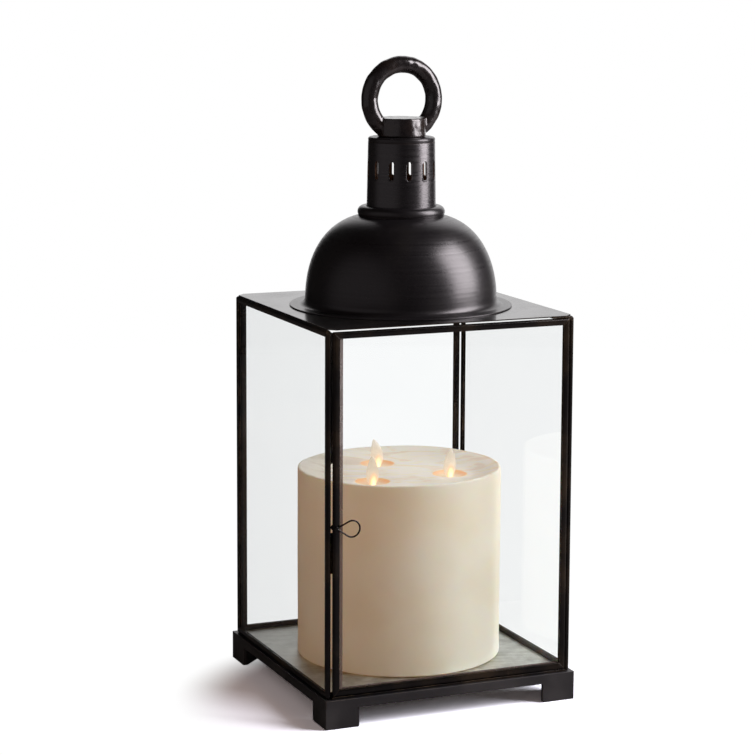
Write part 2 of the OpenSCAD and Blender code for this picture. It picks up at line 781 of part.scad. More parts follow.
// Flame leaf with its stem and, at the bottom, the magnet that drives it
module flame() {
    steps = 24;
    tip_z = well_z + flame_h;
    foot_z = well_z + 1;
    outline = [for (i = [1 : steps - 1]) let (t = i / steps) [leaf_half(t), foot_z + (tip_z - foot_z) * t]];
    back = [for (i = [steps - 1 : -1 : 1]) let (t = i / steps) [-leaf_half(t), foot_z + (tip_z - foot_z) * t]];
    color([0.95, 0.85, 0.65]) difference() {
        rotate([90, 0, 0]) linear_extrude(leaf_t, center = true) union() {
            polygon(concat(outline, [[0, tip_z]], back));
            translate([-stem_w / 2, tail_z]) square([stem_w, foot_z + 3 - tail_z]);
        }
        translate([0, 0, pivot_z]) rotate([90, 0, 0])
            cylinder(h = leaf_t + 2 * past, r = flame_wire_r + fit, center = true, $fn = 24);
    }
    color("silver") translate([0, 0, tail_z - 1.5]) cylinder(h = 1.5, r = 2.2, $fn = 32);
}

module flame_back() { at_flame(0) flame(); }
module flame_left() { at_flame(1) flame(); }
module flame_right() { at_flame(2) flame(); }

// Switch knob in the base plug, with a flange that keeps it in
module switch_slider() {
    color(black) {
        translate([switch_x - 3, -2, plug_z0 + 0.4]) cube([6, 4, plug_t]);
        translate([switch_x - 5, -3.5, plug_z1 + 0.3]) cube([10, 7, 1]);
    }
}

base_rail_front();
base_rail_back();
base_rail_left();
base_rail_right();
foot_front_left();
foot_front_right();
foot_back_left();
foot_back_right();
floor_pan();
door_sill();
hinge_bracket();
hinge_pins();
hinge_washer();
latch_keeper();
left_pane();
left_came_top();
left_came_bottom();
left_came_front();
left_came_back();
right_pane();
right_came_top();
right_came_bottom();
right_came_front();
right_came_back();
back_pane();
back_came_top();
back_came_bottom();
back_came_left();
back_came_right();
top_plate();
dome();
dome_bead();
neck();
neck_cap();
hanging_eye();
eye_stud();
eye_washer();
eye_nut();
door_pane();
door_rail_top();
door_rail_bottom();
door_stile_latch();
door_stile_hinge();
latch_loop();
latch_washer();
candle_wax();
candle_base();
light_frame();
circuit_board();
leds();
drive_coils();
pivot_wires();
batteries();
battery_cover();
battery_contacts();
candle_pads();
flame_back();
flame_left();
flame_right();
switch_slider();
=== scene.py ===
"""Hurricane lantern: the looks of every piece, in the order in which the lantern is put together."""

import math

import bmesh
import bpy
import numpy as np
from mathutils import Matrix, Vector


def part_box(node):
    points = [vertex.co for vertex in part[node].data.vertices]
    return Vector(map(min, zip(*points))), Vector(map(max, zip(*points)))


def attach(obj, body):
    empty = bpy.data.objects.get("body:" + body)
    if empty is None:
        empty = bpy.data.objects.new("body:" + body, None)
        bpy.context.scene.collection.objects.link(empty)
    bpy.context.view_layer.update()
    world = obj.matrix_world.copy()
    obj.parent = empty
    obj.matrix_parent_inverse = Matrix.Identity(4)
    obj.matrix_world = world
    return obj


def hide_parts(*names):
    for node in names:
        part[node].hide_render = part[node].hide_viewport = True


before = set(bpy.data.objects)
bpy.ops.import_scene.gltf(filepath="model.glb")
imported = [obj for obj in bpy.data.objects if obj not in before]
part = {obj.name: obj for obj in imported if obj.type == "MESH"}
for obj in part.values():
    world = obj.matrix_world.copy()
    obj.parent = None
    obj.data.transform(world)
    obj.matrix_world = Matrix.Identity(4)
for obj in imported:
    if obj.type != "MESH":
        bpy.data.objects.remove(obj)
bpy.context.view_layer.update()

# ---------------------------------------------------------------- studio
# A pale round table top with one tall soft lamp at the right, a dim warm room
# and a white backdrop behind. None of it belongs to the lantern.


def add(tree, kind, sockets=(), out=0, **settings):
    """One shader node. Each socket takes a value or another node's output, settings are the
    node's own properties, and out names the output that is handed back."""
    n = tree.nodes.new("ShaderNode" + kind)
    for key, value in settings.items():
        setattr(n, key, value)
    for key, value in dict(sockets).items():
        if isinstance(value, bpy.types.NodeSocket):
            tree.links.new(value, n.inputs[key])
        else:
            n.inputs[key].default_value = value
    return n.outputs[out]


def calc(tree, operation, a, b=0.0):
    """a (operation) b, worked out by a Math node."""
    return add(tree, "Math", {0: a, 1: b}, operation=operation)


def times(tree, a, b):
    """a times b."""
    return calc(tree, "MULTIPLY", a, b)


def plus(tree, a, b):
    """a plus b."""
    return calc(tree, "ADD", a, b)


def vector(tree, operation, a, b=(0, 0, 0)):
    """a (operation) b for vectors. A length, distance or dot product comes out as a number."""
    number = operation in ("LENGTH", "DISTANCE", "DOT_PRODUCT")
    out = "Value" if number else "Vector"
    return add(tree, "VectorMath", {0: a, 1: b}, out=out, operation=operation)


def height_of(tree, point):
    """The z of a point or direction."""
    return add(tree, "SeparateXYZ", {0: point}, out="Z")


def stretch(tree, value, low, high, to_low=0.0, to_high=1.0):
    """value, moved from low..high to to_low..to_high with soft ends, and held there."""
    sockets = {0: value, 1: low, 2: high, 3: to_low, 4: to_high}
    return add(tree, "MapRange", sockets, interpolation_type="SMOOTHSTEP")


def mix(tree, share, first, second):
    """The first colour at share 0 and the second at share 1."""
    return add(tree, "MixRGB", {"Fac": share, "Color1": first, "Color2": second})


def new_finish(name):
    """An empty material and its tree."""
    m = bpy.data.materials.new(name)
    m.use_nodes = True
    m.node_tree.nodes.clear()
    return m, m.node_tree


def close(material, shader):
    """Joins the shader to the material's output, and hands the material back."""
    tree = material.node_tree
    out = tree.nodes.new("ShaderNodeOutputMaterial")
    tree.links.new(shader, out.inputs["Surface"])
    return material


def into_scene(name, data):
    """A new object that holds data."""
    ob = bpy.data.objects.new(name, data)
    bpy.context.collection.objects.link(ob)
    return ob


def camera():
    """A long lens at the lantern's left front, given by its place and by the turn, lift and
    roll of its view."""
    place = (-0.72537, -1.67173, 0.55472)
    turn, lift, roll = (math.radians(a) for a in (-23.456, 8.193, 0.328))
    back = Vector(
        (
            math.sin(turn) * math.cos(lift),
            -math.cos(turn) * math.cos(lift),
            math.sin(lift),
        )
    )
    right = (-back).cross(Vector((0, 0, 1))).normalized()
    up = right.cross(-back)
    x = math.cos(roll) * right + math.sin(roll) * up
    y = -math.sin(roll) * right + math.cos(roll) * up
    data = bpy.data.cameras.new("studio_camera")
    data.sensor_width = 36
    data.lens = 116.265
    data.shift_x = -0.03064
    data.shift_y = -0.09953
    data.clip_end = 50
    ob = into_scene("studio_camera", data)
    m = Matrix((x, y, back)).transposed().to_4x4()
    m.translation = place
    ob.matrix_world = m
    bpy.context.scene.camera = ob


camera()


def soft_lamp(name, place, aim, wide, tall, watts, colour):
    """A rectangular soft lamp at place, turned to face aim."""
    data = bpy.data.lights.new(name, "AREA")
    data.shape = "RECTANGLE"
    data.size = wide
    data.size_y = tall
    data.energy = watts
    data.color = colour
    ob = into_scene(name, data)
    ob.location = place
    ob.rotation_euler = (Vector(aim) - Vector(place)).to_track_quat("-Z", "Y").to_euler()


soft_lamp(
    "right_softbox",
    place=(1.10, -0.62, 0.84),
    aim=(0, 0, 0.28),
    wide=0.85,
    tall=1.25,
    watts=24.6,
    colour=(0.98, 1.0, 0.995),
)


def ray_kinds(tree):
    """Two marks of a ray: 1 where the eye sees straight on, also through glass, and 1 where
    the ray was mirrored on its way."""
    path = tree.nodes.new("ShaderNodeLightPath").outputs
    through = path["Is Transmission Ray"]
    once = calc(tree, "GREATER_THAN", path["Glossy Depth"], 0.5)
    straight = calc(tree, "LESS_THAN", plus(tree, path["Diffuse Depth"], once), 0.5)
    seen = calc(tree, "MAXIMUM", path["Is Camera Ray"], times(tree, through, straight))
    mirrored = calc(tree, "MAXIMUM", path["Is Glossy Ray"], times(tree, through, once))
    return seen, mirrored


def room():
    """World: white to the eye and through glass, and dim and warm from the left for soft
    light. What mirrors it meets a white backdrop behind the table and a grey wall at the left."""
    behind, left = (0.5, 0.866, 0), (-0.96, -0.28, 0)
    w = bpy.data.worlds.new("studio")
    bpy.context.scene.world = w
    w.use_nodes = True
    t = w.node_tree
    t.nodes.clear()
    seen, glossy = ray_kinds(t)
    plain = calc(t, "SUBTRACT", 1.0, glossy)
    unseen = calc(t, "SUBTRACT", 1.0, seen)
    way = add(t, "TexCoord", out="Generated")
    level = vector(t, "NORMALIZE", vector(t, "MULTIPLY", way, (1, 1, 0)))
    ahead = vector(t, "DOT_PRODUCT", level, behind)
    aside = vector(t, "DOT_PRODUCT", way, left)
    backdrop = times(
        t,
        stretch(t, ahead, 0.86, 0.97, 0.015, 1.1),
        stretch(t, height_of(t, way), 0.55, 0.90, 1.0, 0.0),
    )
    wall = stretch(t, aside, 0.55, 0.95, 0.0, 0.14)
    mirrored = times(t, glossy, plus(t, backdrop, wall))
    soft = times(t, plain, stretch(t, aside, 0.0, 1.0, 0.02, 0.34))
    strength = plus(t, seen, times(t, unseen, plus(t, mirrored, soft)))
    colour = mix(t, times(t, unseen, plain), (1, 1, 1, 1), (1.0, 0.87, 0.76, 1))
    shade = add(t, "Background", {"Color": colour, "Strength": strength})
    out = t.nodes.new("ShaderNodeOutputWorld")
    t.links.new(shade, out.inputs["Surface"])
    w.cycles.sampling_method = "NONE"


room()


def table_top():
    """A round table. It shows the lantern's shadow near by, and fades to plain white with
    distance from a point in front of the lantern's middle."""
    sides, reach, drop = 96, 1.6, 0.0002
    a = np.linspace(0, 2 * np.pi, sides, endpoint=False)
    ring = np.stack([reach * np.cos(a), reach * np.sin(a), np.full(sides, -drop)], 1)
    mesh = bpy.data.meshes.new("table")
    mesh.from_pydata(ring.tolist(), [], [list(range(sides))])
    m, t = new_finish("table_white")
    seen, glossy = ray_kinds(t)
    far = vector(t, "DISTANCE", add(t, "TexCoord", out="Object"), (-0.02, -0.04, 0))
    far = stretch(t, far, 0.116, 0.172)
    tone = mix(t, glossy, (0.70, 0.64, 0.59, 1), (0.22, 0.21, 0.21, 1))
    tone = mix(t, seen, tone, (2.7, 2.62, 2.95, 1))
    matt = add(t, "BsdfDiffuse", {"Color": tone})
    white = add(t, "Emission", {"Color": (1, 1, 1, 1), "Strength": 1.02})
    shader = add(t, "MixShader", {0: times(t, far, seen), 1: matt, 2: white})
    mesh.materials.append(close(m, shader))
    into_scene("table", mesh)


table_top()

# ---------------------------------------------------------------- base
# Four mitred steel bars on four feet bent from sheet and closed by a slanted
# web, welded, ground smooth and blackened. Handling has rubbed the edges brown.


def noise(tree, at, scale, detail, **more):
    """Cloudy noise at a point: scale is in waves per metre, more sets its other sockets."""
    return add(tree, "TexNoise", {"Vector": at, "Scale": scale, "Detail": detail, **more})


def blackened(
    name, body, patch, worn, rough, wear, grain, spun=0.0, ior=1.55, rub=0.0007, seam=None
):
    """Blackened metal: clouded patches over the body colour, a fine grain, and the worn colour
    where edges are rubbed. spun is the depth of turning lines, rub the width of a worn edge,
    and seam the height of a joint that is ground away."""
    m, t = new_finish(name)
    at = add(t, "TexCoord", out="Object")
    cloud = noise(t, at, 26.0, 6.0)
    speck = noise(t, at, 900.0, 2.0)
    colour = mix(t, stretch(t, cloud, 0.46, 0.70), body, patch)
    face = add(t, "NewGeometry", out="True Normal")
    rounded = add(t, "Bevel", {"Radius": rub}, samples=4)
    edge = vector(t, "DOT_PRODUCT", rounded, face)
    edge = stretch(t, calc(t, "SUBTRACT", 1.0, edge), 0.02, 0.30)
    if seam:
        off = calc(t, "ABSOLUTE", calc(t, "SUBTRACT", height_of(t, at), seam))
        off = stretch(t, off, 0.0009, 0.0014)
        edge = times(t, edge, off)
        rounded = mix(t, off, face, rounded)
    rubbed = stretch(t, noise(t, at, 55.0, 5.0), 0.40, 0.66, 0.0, wear)
    colour = mix(t, times(t, edge, rubbed), colour, worn)
    gloss = plus(t, times(t, cloud, 0.6), times(t, speck, 0.4))
    height = speck
    if spun:
        reach = vector(t, "LENGTH", vector(t, "MULTIPLY", at, (1, 1, 0)))
        track = calc(t, "SUBTRACT", height_of(t, at), times(t, reach, 0.6))
        fine, broad = (
            add(t, "TexNoise", {"W": track, "Scale": s, "Detail": d}, noise_dimensions="1D")
            for s, d in ((1500.0, 2.0), (430.0, 3.0))
        )
        lines = plus(t, times(t, fine, 0.45), broad)
        height = plus(t, times(t, speck, 0.25), times(t, lines, spun))
        gloss = plus(t, times(t, gloss, 0.6), times(t, broad, 0.4))
    relief = {"Strength": 0.5, "Distance": grain, "Height": height, "Normal": rounded}
    metal = add(
        t,
        "BsdfPrincipled",
        {
            "Base Color": colour,
            "Roughness": stretch(t, gloss, 0.35, 0.65, *rough),
            "IOR": ior,
            "Specular Tint": (1.0, 0.89, 0.945, 1),
            "Normal": add(t, "Bump", relief),
        },
    )
    return close(m, metal)


def dress(finish, slot_name, *names):
    """Gives CAD nodes a finish. slot_name is not used."""
    for n in names:
        for s in part[n].material_slots:
            s.material = finish


base_black = blackened(
    "base_black",
    body=(0.014, 0.013, 0.015, 1),
    patch=(0.032, 0.029, 0.031, 1),
    worn=(0.16, 0.10, 0.06, 1),
    rough=(0.38, 0.54),
    wear=0.9,
    grain=0.00010,
    ior=1.75,
    seam=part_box("foot_front_left")[1][2],
)
dress(base_black, "base_metal", *(n for n in part if n.startswith(("base_rail_", "foot_"))))

# ---------------------------------------------------------------- floor sheet
# A loose sheet of weathered zinc with a dull grey-green bloom and faint rolling
# marks. It lies on the base bars, and the candle stands on it.


def zinc(name, pale, dark, rough):
    """Zinc sheet: soft bloom over the metal, faint streaks along its rolling and fine pits."""
    m, t = new_finish(name)
    at = add(t, "TexCoord", out="Object")
    bloom = noise(t, at, 32.0, 8.0, Roughness=0.62)
    drawn = add(t, "Mapping", {"Vector": at, "Rotation": (0, 0, 0.35)})
    streak = noise(t, vector(t, "MULTIPLY", drawn, (18, 240, 60)), 1.0, 4.0)
    both = plus(t, times(t, bloom, 0.8), times(t, streak, 0.2))
    height = plus(t, noise(t, at, 700.0, 3.0), both)
    metal = add(
        t,
        "BsdfPrincipled",
        {
            "Base Color": mix(t, stretch(t, both, 0.36, 0.64), dark, pale),
            "Metallic": 0.65,
            "Roughness": stretch(t, both, 0.35, 0.65, rough, rough + 0.2),
            "Normal": add(t, "Bump", {"Strength": 0.4, "Distance": 0.00008, "Height": height}),
        },
    )
    return close(m, metal)


floor_zinc = zinc("floor_zinc", pale=(0.72, 0.73, 0.69, 1), dark=(0.31, 0.30, 0.265, 1), rough=0.33)
dress(floor_zinc, "floor_zinc", "floor_pan")

# ---------------------------------------------------------------- cames and sill
# Each pane is held in a frame of round-edged came, mitred and soldered, and the
# door shuts against a sill. All are patinated black over brass, so that the
# colour is warmer than the base and shows brown in patches and along the lips.

came_black = blackened(
    "came_black",
    body=(0.0050, 0.0040, 0.0038, 1),
    patch=(0.030, 0.019, 0.011, 1),
    worn=(0.24, 0.155, 0.09, 1),
    rough=(0.15, 0.26),
    wear=0.95,
    grain=0.00004,
    ior=1.45,
    rub=0.0006,
)
dress(
    came_black,
    "came_metal",
    *(n for n in part if "_came_" in n or n.startswith(("door_rail_", "door_stile_"))),
    "door_sill",
    "hinge_bracket",
    "latch_keeper",
)

# ---------------------------------------------------------------- glass
# Four sheets of window glass, three fixed and one in the door, loose in their
# grooves. The faces are very slightly uneven and carry a faint film.


def clear_glass():
    """Thin clear glass: it bends and mirrors light for the eye, and lets lamps and soft light
    straight through."""
    m, t = new_finish("window_glass")
    at = add(t, "TexCoord", out="Object")
    ripple = noise(t, at, 14.0, 1.0)
    film = noise(t, at, 45.0, 4.0)
    pane = add(
        t,
        "BsdfPrincipled",
        {
            "Base Color": mix(t, film, (0.964, 0.973, 0.976, 1), (0.980, 0.988, 0.987, 1)),
            "Roughness": 0.0,
            "IOR": 1.18,
            "Transmission Weight": 1.0,
            "Normal": add(t, "Bump", {"Strength": 0.05, "Distance": 0.0004, "Height": ripple}),
        },
    )
    open_to = add(t, "BsdfTransparent", {"Color": (0.93, 0.93, 0.93, 1)})
    path = t.nodes.new("ShaderNodeLightPath").outputs
    straight = calc(t, "MAXIMUM", path["Is Shadow Ray"], path["Is Diffuse Ray"])
    return close(m, add(t, "MixShader", {0: straight, 1: pane, 2: open_to}))


dress(clear_glass(), "glass", "left_pane", "right_pane", "back_pane", "door_pane")

# ---------------------------------------------------------------- hinge and latch
# Two steel pins carry the door on a washer. The pull is one piece of iron wire
# bent to a drop, turned through the stile and soldered where its ends meet.

wire_black = blackened(
    "wire_black",
    body=(0.0045, 0.0038, 0.0036, 1),
    patch=(0.012, 0.008, 0.006, 1),
    worn=(0.10, 0.06, 0.035, 1),
    rough=(0.24, 0.38),
    wear=0.3,
    grain=0.00003,
    ior=1.45,
)
dress(wire_black, "latch_wire", "latch_loop", "latch_washer")
dress(wire_black, "came_metal", "hinge_pins", "hinge_washer")

# ---------------------------------------------------------------- top plate
# A square of sheet with clipped corners and a round vent, soldered down on the
# cames. It is smoother than the rest and mirrors the room at a low angle.

plate_black = blackened(
    "plate_black",
    body=(0.010, 0.009, 0.009, 1),
    patch=(0.020, 0.017, 0.015, 1),
    worn=(0.15, 0.09, 0.05, 1),
    rough=(0.13, 0.22),
    wear=0.7,
    grain=0.00002,
    ior=1.7,
)
dress(plate_black, "plate_metal", "top_plate")

# ---------------------------------------------------------------- dome
# Spun on a lathe from one disc of sheet: a flat brim, a tight cove, a full
# shoulder and a flat crown with a hole. The tool has left fine turning lines.

MM = 0.001


def box_mm(node):
    """Lowest and highest corners of a CAD node, in millimetres."""
    return tuple(np.array(corner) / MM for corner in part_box(node))


def points(x, y, z):
    """A grid of points from three arrays, each repeated over the whole grid."""
    return np.stack(np.broadcast_arrays(x, y, z), -1)


def put_mesh(name, grids, finishes, body, replaced=(), sharp=32.0):
    """One piece from grids of points (rows, columns, 3) in millimetres. Each grid comes with
    whether its rows and its columns close on themselves. Doubles are merged, so that seams and
    poles close, and the faces are turned outwards."""
    corners, faces, count = [], [], 0
    for grid, rows_close, columns_close in grids:
        rows, columns = grid.shape[:2]
        index = np.arange(rows * columns).reshape(rows, columns) + count
        down, across = np.roll(index, -1, 0), np.roll(index, -1, 1)
        quads = np.stack([index, down, np.roll(down, -1, 1), across], -1)
        quads = quads[: rows if rows_close else -1, : columns if columns_close else -1]
        corners.append(grid.reshape(-1, 3))
        faces.append(quads.reshape(-1, 4))
        count += rows * columns
    mesh = bpy.data.meshes.new(name)
    corners, faces = np.concatenate(corners) * MM, np.concatenate(faces)
    mesh.from_pydata(corners.tolist(), [], faces.tolist())
    b = bmesh.new()
    b.from_mesh(mesh)
    bmesh.ops.remove_doubles(b, verts=b.verts, dist=0.002 * MM)
    bmesh.ops.dissolve_degenerate(b, edges=b.edges, dist=0.0001 * MM)
    bmesh.ops.recalc_face_normals(b, faces=b.faces)
    b.to_mesh(mesh)
    b.free()
    return put_piece(name, mesh, finishes, body, replaced, sharp)


def put_piece(name, mesh, finishes, body, replaced=(), sharp=32.0):
    """Puts a mesh into the scene as a piece that rides on body and stands for the nodes that it
    replaces. Edges that turn by more than sharp degrees stay crisp."""
    mesh.polygons.foreach_set("use_smooth", np.ones(len(mesh.polygons), bool))
    mesh.set_sharp_from_angle(angle=math.radians(sharp))
    for finish in finishes:
        mesh.materials.append(finish)
    ob = into_scene(name, mesh)
    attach(ob, body)
    if replaced:
        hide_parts(*replaced)
    return ob


def arc(cx, cz, r, a0, a1, n):
    """n points of an arc in the (radius, height) plane, from angle a0 to a1 in degrees."""
    a = np.radians(np.linspace(a0, a1, n))
    return np.stack([cx + r * np.cos(a), cz + r * np.sin(a)], 1)


def line(r0, z0, r1, z1, n):
    """n points of a straight line in the (radius, height) plane."""
    return np.linspace((r0, z0), (r1, z1), n)


def around(columns):
    """Angles of that many columns round the upright axis."""
    return np.linspace(0, 2 * np.pi, columns, endpoint=False)


def turned(profile, columns=224):
    """A (radius, height) profile carried round the upright axis: x = r cos a, y = r sin a."""
    a = around(columns)
    r, z = profile[:, :1], profile[:, 1:]
    return points(r * np.cos(a), r * np.sin(a), z)


dome_r, crown_r, hole_r, cove_r, sheet = 72.2, 28.0, 20.0, 5.1, 0.9
fullness = 0.625
(_, _, brim_z), (brim_r, _, crown_z) = box_mm("dome")
shoulder_z = brim_z + sheet + cove_r
crown_turn = math.acos((crown_r / dome_r) ** (1 / fullness))
dome_rise = (crown_z - shoulder_z) / math.sin(crown_turn)


def shoulder(t, inset=0.0):
    """The dome's side: r = dome_r cos(t)^fullness, z = shoulder_z + dome_rise sin(t)."""
    r = (dome_r - inset) * np.cos(t) ** fullness
    return np.stack([r, shoulder_z + (dome_rise - inset) * np.sin(t)], 1)


def dome():
    """Section: rounded brim edge, flat brim, cove, shoulder and crown, and the same one sheet
    further in. Turning lines and a slow wobble of a few hundredths are added to the outer
    radius, and fade out at the cove and the crown."""
    rim, cove_at, start = sheet / 2, dome_r + cove_r, 0.004
    outer = np.concatenate(
        [
            arc(brim_r - rim, brim_z + rim, rim, -90, 90, 9),
            line(brim_r - 0.7, brim_z + sheet, cove_at + 0.7, brim_z + sheet, 6),
            arc(cove_at, shoulder_z, cove_r, 268, 192, 22),
            shoulder(np.linspace(start, crown_turn, 190)),
            line(crown_r - 0.5, crown_z, hole_r, crown_z, 6),
        ]
    )
    inner = np.concatenate(
        [
            line(hole_r, crown_z - sheet, crown_r - 1.0, crown_z - sheet, 4),
            shoulder(np.linspace(crown_turn, start, 40), sheet),
            arc(cove_at, shoulder_z, cove_r + sheet, 192, 268, 8),
        ]
    )
    grid = turned(np.concatenate([outer, inner]))
    skin = grid[: len(outer)]
    a, h = around(grid.shape[1]), skin[:, :, 2]
    lines = 0.009 * np.sin(h * 1.7 + 0.8 * np.sin(h * 0.31))
    wobble = 0.05 * np.sin(3 * a + h * 0.05) + 0.04 * np.sin(7 * a - h * 0.11)
    fade = np.clip((h - shoulder_z) / 6, 0, 1) * np.clip((crown_z - h) / 3, 0, 1)
    skin[:, :, :2] *= (1 + (lines + wobble) * fade / 72)[..., None]
    return grid


spun_black = blackened(
    "spun_black",
    body=(0.0120, 0.0098, 0.0115, 1),
    patch=(0.0180, 0.0150, 0.0150, 1),
    worn=(0.10, 0.06, 0.035, 1),
    rough=(0.27, 0.36),
    wear=0.5,
    grain=0.00005,
    spun=1.0,
    ior=1.74,
)
put_mesh("dome_shell", [(dome(), True, True)], [spun_black], "lantern", ["dome"])

# ---------------------------------------------------------------- bead
# A half-round bead, turned from the same sheet, covers the joint between the
# crown of the dome and the foot of the neck.


def bead():
    """Section: a 4.6 mm arc that rests on the dome's curve at its foot and closes on the neck
    at the top. Its centre stands 2.1 mm out from the bore."""
    bore, round_r, off, gap, foot_turn = 26.13, 4.6, 2.1, 0.03, 28
    mid_r, mid_z = bore + off, crown_z + round_r - 2.6
    foot_r = mid_r + round_r * math.cos(math.radians(foot_turn))
    r = np.linspace(crown_r, foot_r, 6)
    under = shoulder(np.arccos((r / dome_r) ** (1 / fullness))) + (0, gap)
    top_turn = 90 + math.degrees(math.asin(off / round_r))
    seat = [[bore, crown_z + gap]]
    return np.concatenate([seat, under, arc(mid_r, mid_z, round_r, -foot_turn, top_turn, 44)])


put_mesh(
    "neck_bead", [(turned(bead()), True, True)], [spun_black], "lantern", ["dome_bead"]
)

# ---------------------------------------------------------------- neck
# A tapered tube, drawn and then punched with twelve round-ended vents. The
# punch has turned each edge slightly outwards, and inside the brass is bare.

neck_foot, neck_top = (corner[2] for corner in box_mm("neck"))
neck_r, neck_mean_r, neck_top_r, neck_wall = 26.1, 25.6, 25.1, 1.2
vent_r, vent_straight, vent_drop = 1.75, 5.2, 20.4
vents_round, first_vent = 12, math.radians(19.5)


def neck():
    """Each twelfth of the tube is a grid between the outline of its vent and the edges of its
    panel, in (angle, height), and the wall then goes in round the vent. The radius falls evenly
    from 26.1 at the foot to 25.1 at the top."""
    vent_z = neck_top - vent_drop
    above, below = neck_top - vent_z, vent_z - neck_foot
    n, half = 24, math.pi / vents_round
    side = np.linspace(-1, 1, n, endpoint=False)
    one = np.ones(n)
    panel_a = np.concatenate([one, -side, -one, side]) * half
    panel_z = np.concatenate([side, one, -side, -one])
    panel_z = vent_z + np.where(panel_z > 0, panel_z * above, panel_z * below)
    edge = 2 * (above + below) + 4 * half * neck_mean_r
    up, back = (panel_z - vent_z) / edge, (half - panel_a) * neck_mean_r / edge
    share = np.concatenate(
        [
            up[:n],
            above / edge + back[n : 2 * n],
            0.5 - up[2 * n : 3 * n],
            1 - below / edge - back[3 * n :],
        ]
    )
    bend = math.pi * vent_r
    s = np.mod(share, 1) * (2 * bend + 4 * vent_straight)

    def slot(offset):
        """Points of the round-ended outline, moved out by offset. They are found by length
        from the middle of its right side: up, over the top, down and under the foot."""
        ends = np.cumsum([vent_straight, bend, 2 * vent_straight, bend])
        run = [s < end for end in ends]
        over, under = (s - ends[0]) / vent_r, math.pi + (s - ends[2]) / vent_r
        w = vent_r + offset
        x = np.select(run, [w, w * np.cos(over), -w, w * np.cos(under)], w)
        top, foot = vent_straight + w * np.sin(over), -vent_straight + w * np.sin(under)
        z = np.select(run, [s, top, vent_straight - s + ends[1], foot], s - ends[3] - vent_straight)
        return x / neck_mean_r, vent_z + z

    def ring(spread, lift, offset=0.0):
        """One closed line of the grid: spread 0 is the vent's outline and 1 the panel's edge,
        and lift is the height above the outer face."""
        a, z = slot(offset)
        a = a * (1 - spread) + panel_a * spread
        z = z * (1 - spread) + panel_z * spread
        fall = (neck_r - neck_top_r) * (z - neck_foot) / (neck_top - neck_foot)
        return a, z, lift + neck_r - fall

    steps = (0.0, 0.06, 0.14, 0.26, 0.42, 0.6, 0.8, 1.0)
    lip = [ring(0, -0.35), ring(0, -0.02, 0.07), ring(0, 0.10, 0.28), ring(0, 0.06, 0.6)]
    outside = lip + [ring(k, 0.0, 1 - k) for k in steps]
    inside = [ring(k, -neck_wall) for k in reversed(steps)]
    walls = [ring(0, lift) for lift in (-neck_wall, -0.8, -0.35)]
    panels, bore = [], []
    for i in range(vents_round):
        for rows, group in ((outside, panels), (walls, panels), (inside, bore)):
            a, z, r = np.array(rows).transpose(1, 0, 2)
            a = a + first_vent + 2 * half * i
            group.append((points(r * np.cos(a), r * np.sin(a), z), False, True))
    a = np.concatenate([panel_a[n : 2 * n][::-1] + 2 * half * i for i in range(vents_round)])
    rims = []
    for z, r in ((neck_foot, neck_r), (neck_top, neck_top_r)):
        r = np.array([[r], [r - neck_wall]])
        rim = points(r * np.cos(a + first_vent), r * np.sin(a + first_vent), z)
        rims.append((rim, False, True))
    return panels + bore + rims


def bare_inside(tube):
    """Gives the tube's second finish to the faces whose middle lies within the wall."""
    faces = tube.data.polygons
    middle = np.empty(len(faces) * 3)
    faces.foreach_get("center", middle)
    x, y, z = middle.reshape(-1, 3).T / MM
    fall = (neck_r - neck_top_r) * (z - neck_foot) / (neck_top - neck_foot)
    inside = np.hypot(x, y) < neck_r - 0.55 - fall
    faces.foreach_set("material_index", inside.astype(np.int32))


neck_black = blackened(
    "neck_black",
    body=(0.0090, 0.0074, 0.0090, 1),
    patch=(0.0150, 0.0125, 0.0120, 1),
    worn=(0.10, 0.06, 0.035, 1),
    rough=(0.26, 0.34),
    wear=0.5,
    grain=0.00004,
    spun=0.8,
    ior=2.05,
)
bare_brass = blackened(
    "bare_brass",
    body=(0.12, 0.045, 0.014, 1),
    patch=(0.26, 0.10, 0.03, 1),
    worn=(0.30, 0.14, 0.05, 1),
    rough=(0.36, 0.52),
    wear=0.3,
    grain=0.00004,
)
bare_inside(
    put_mesh("neck_tube", neck(), [neck_black, bare_brass], "lantern", ["neck"])
)

# ---------------------------------------------------------------- cap
# A turned cap with a rounded rim and a skirt that drops into the neck. The
# eye's stud comes up through its middle.

cap_top = box_mm("neck_cap")[1][2]


def cap():
    """Section: stud hole, underside, skirt, seat on the tube, a 1.8 mm round over the rim and a
    slightly dished top."""
    seat, hole, skirt, skirt_in, skirt_out, rim = neck_top, 4.2, 6.0, 22.37, 23.87, 1.8
    return np.concatenate(
        [
            line(hole, cap_top - 0.05, hole, seat, 2),
            line(hole + 0.4, seat, skirt_in - 0.07, seat, 3),
            line(skirt_in, seat - 0.3, skirt_in, seat - skirt, 2),
            line(skirt_out, seat - skirt, skirt_out, seat - 0.2, 2),
            line(24.1, seat, 24.9, seat, 2),
            arc(neck_top_r - rim, cap_top - rim, rim, -6, 88, 18),
            line(23.0, cap_top, 18.4, cap_top - 0.02, 4),
            line(17.5, cap_top - 0.03, hole, cap_top - 0.05, 4),
        ]
    )


put_mesh(
    "cap_disc", [(turned(cap()), True, True)], [spun_black], "lantern", ["neck_cap"]
)

# ---------------------------------------------------------------- hanging eye
# A sand casting: a round ring run into a short round boss, rough from the
# mould, with the fettling marks of a file, tapped below for its stud.

ring_r, bar_r, ring_z = 26.05, 6.3, cap_top + 27.8
boss_r, boss_top, boss_round = 18.0, cap_top + 14.2, 1.2


def smooth_min(a, b, width):
    """The lesser of a and b, with a rounded change between them that is width across."""
    k = np.clip(0.5 + 0.5 * (a - b) / width, 0, 1)
    return a * (1 - k) + b * k - width * k * (1 - k)


